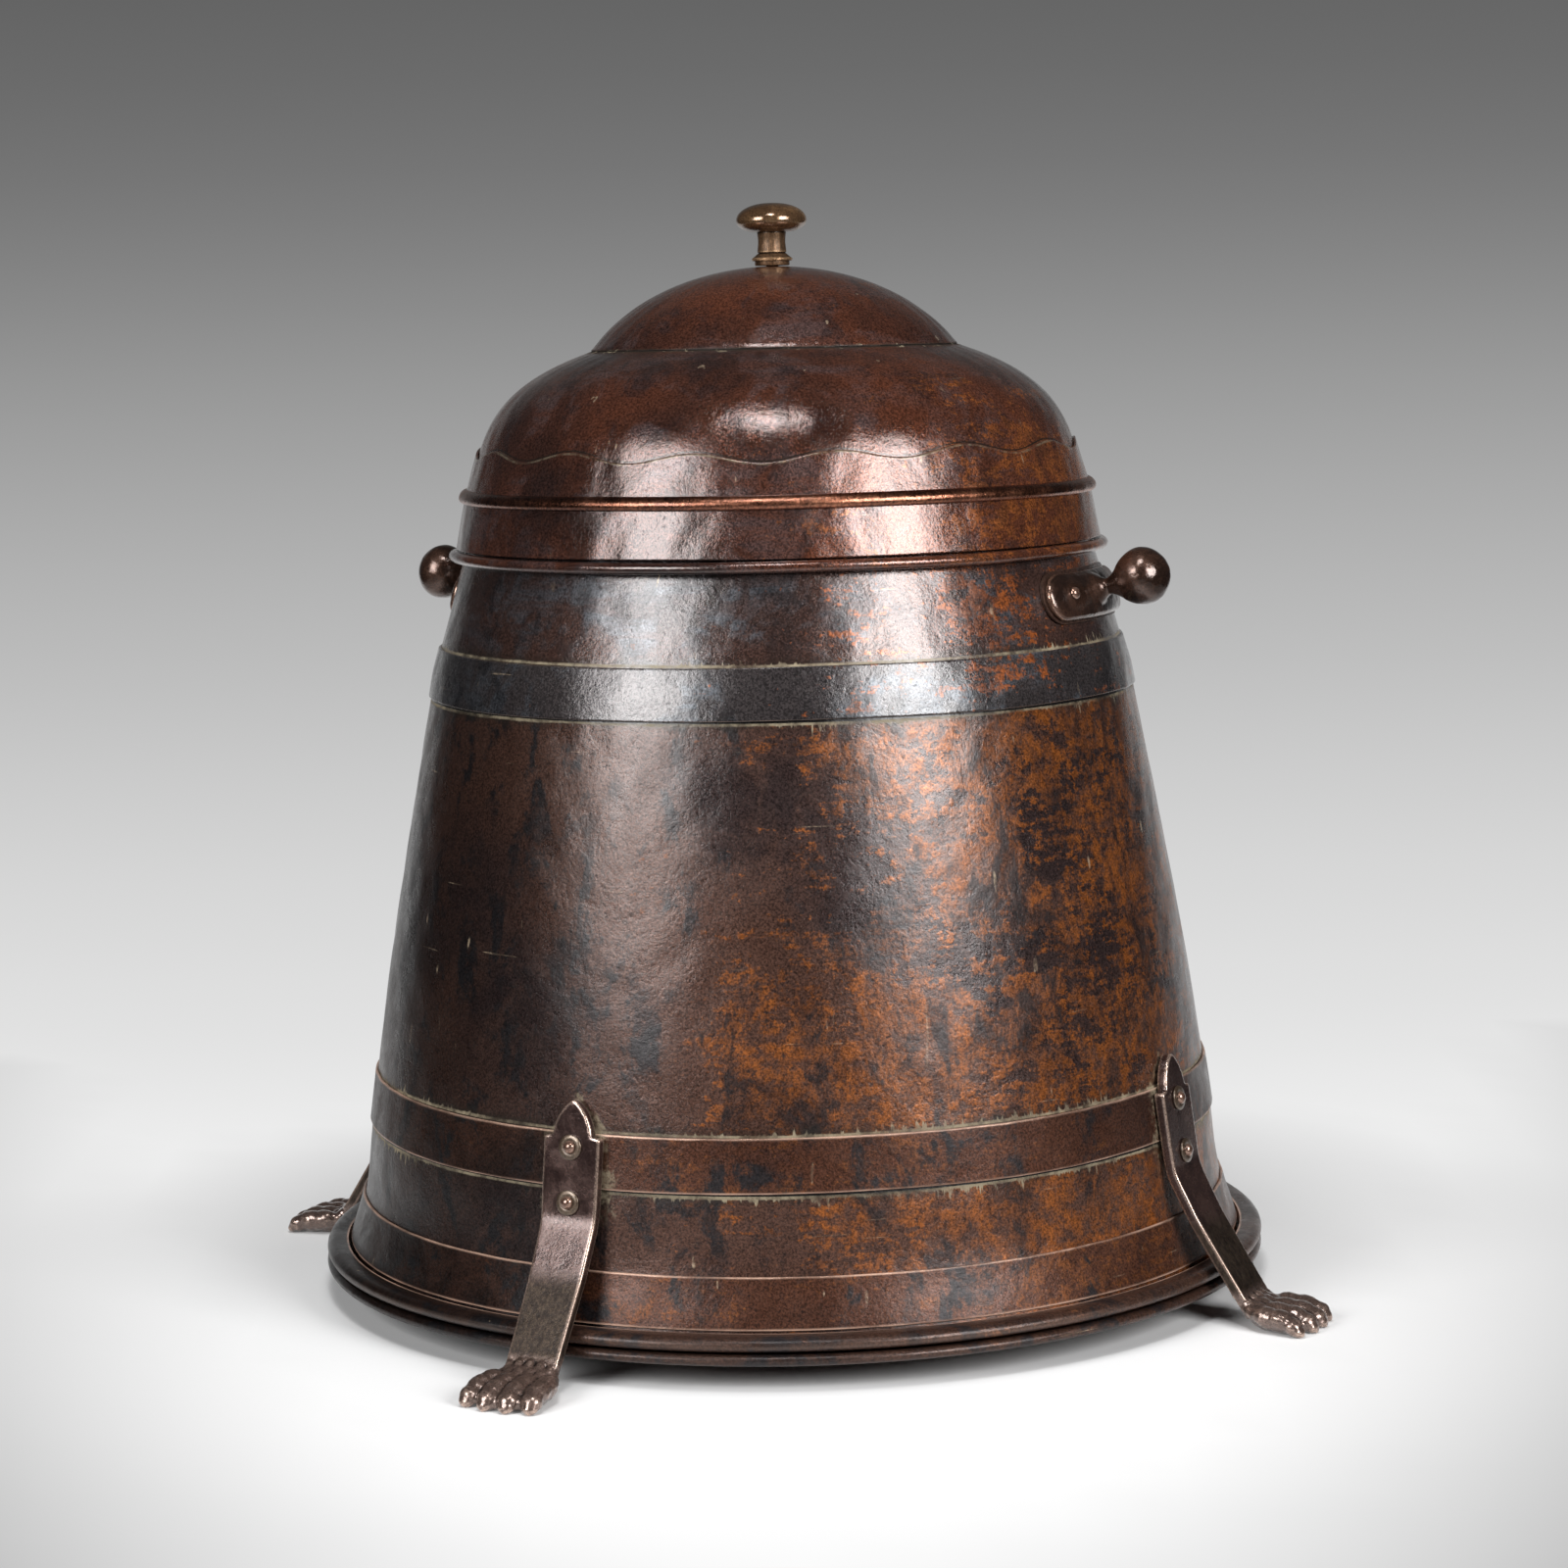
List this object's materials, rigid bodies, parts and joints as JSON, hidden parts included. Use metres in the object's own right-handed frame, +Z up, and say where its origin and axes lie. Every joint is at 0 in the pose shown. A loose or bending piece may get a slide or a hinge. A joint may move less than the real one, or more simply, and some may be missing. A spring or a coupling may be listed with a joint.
{
  "type": "coal bin",
  "caption": "Tapered copper coal bin with a lift-off domed lid, knob handles and riveted strap feet ending in lion paws.",
  "frame": {"origin": "on the floor under the middle of the bin, level with the soles of the paws", "axes": "+Z up along the bin's axis and the way the lid lifts, -Y towards the front foot, +X towards the right handle"},
  "size_m": [0.5518, 0.5522, 0.5117],
  "materials": {
    "copper_wall": "old patinated copper sheet, waxed",
    "copper_lid": "old patinated copper sheet, redder and better polished",
    "copper_band": "dark slate patina",
    "copper_base": "dark brown patina",
    "copper_bead": "rubbed bright copper",
    "rivet": "rubbed copper",
    "casting": "dark cast bronze, polished by handling",
    "knob": "old brass, worn"
  },
  "bodies": {
    "bin": {"base_bead": "copper_base", "base_flange": "copper_base", "bottom_pan": "copper_base", "drum_shell": "copper_wall", "foot_band": "copper_wall", "foot_front": "casting", "foot_front_rivet_lower": "rivet", "foot_front_rivet_upper": "rivet", "foot_front_washer_lower": "rivet", "foot_front_washer_upper": "rivet", "foot_left": "casting", "foot_left_rivet_lower": "rivet", "foot_left_rivet_upper": "rivet", "foot_left_washer_lower": "rivet", "foot_left_washer_upper": "rivet", "foot_rear": "casting", "foot_rear_rivet_lower": "rivet", "foot_rear_rivet_upper": "rivet", "foot_rear_washer_lower": "rivet", "foot_rear_washer_upper": "rivet", "foot_right": "casting", "foot_right_rivet_lower": "rivet", "foot_right_rivet_upper": "rivet", "foot_right_washer_lower": "rivet", "foot_right_washer_upper": "rivet", "handle_left": "casting", "handle_left_plate": "copper_band", "handle_left_rivet_far": "rivet", "handle_left_rivet_near": "rivet", "handle_right": "casting", "handle_right_plate": "copper_band", "handle_right_rivet_far": "rivet", "handle_right_rivet_near": "rivet", "hoop_band": "copper_wall", "neck_rim_wire": "copper_wall", "neck_shell": "copper_wall", "upper_band": "copper_band"},
    "lid": {"lid_crown": "copper_lid", "lid_knob": "knob", "lid_knob_nut": "knob", "lid_knob_washer": "knob", "lid_lower_bead": "copper_lid", "lid_shoulder": "copper_lid", "lid_skirt": "copper_lid", "lid_upper_bead": "copper_bead"}
  },
  "joints": [
    {"name": "lid_lift", "type": "slide", "parent": "bin", "child": "lid", "axis": [0, 0, 1], "range_m": [0, 0.25]}
  ]
}
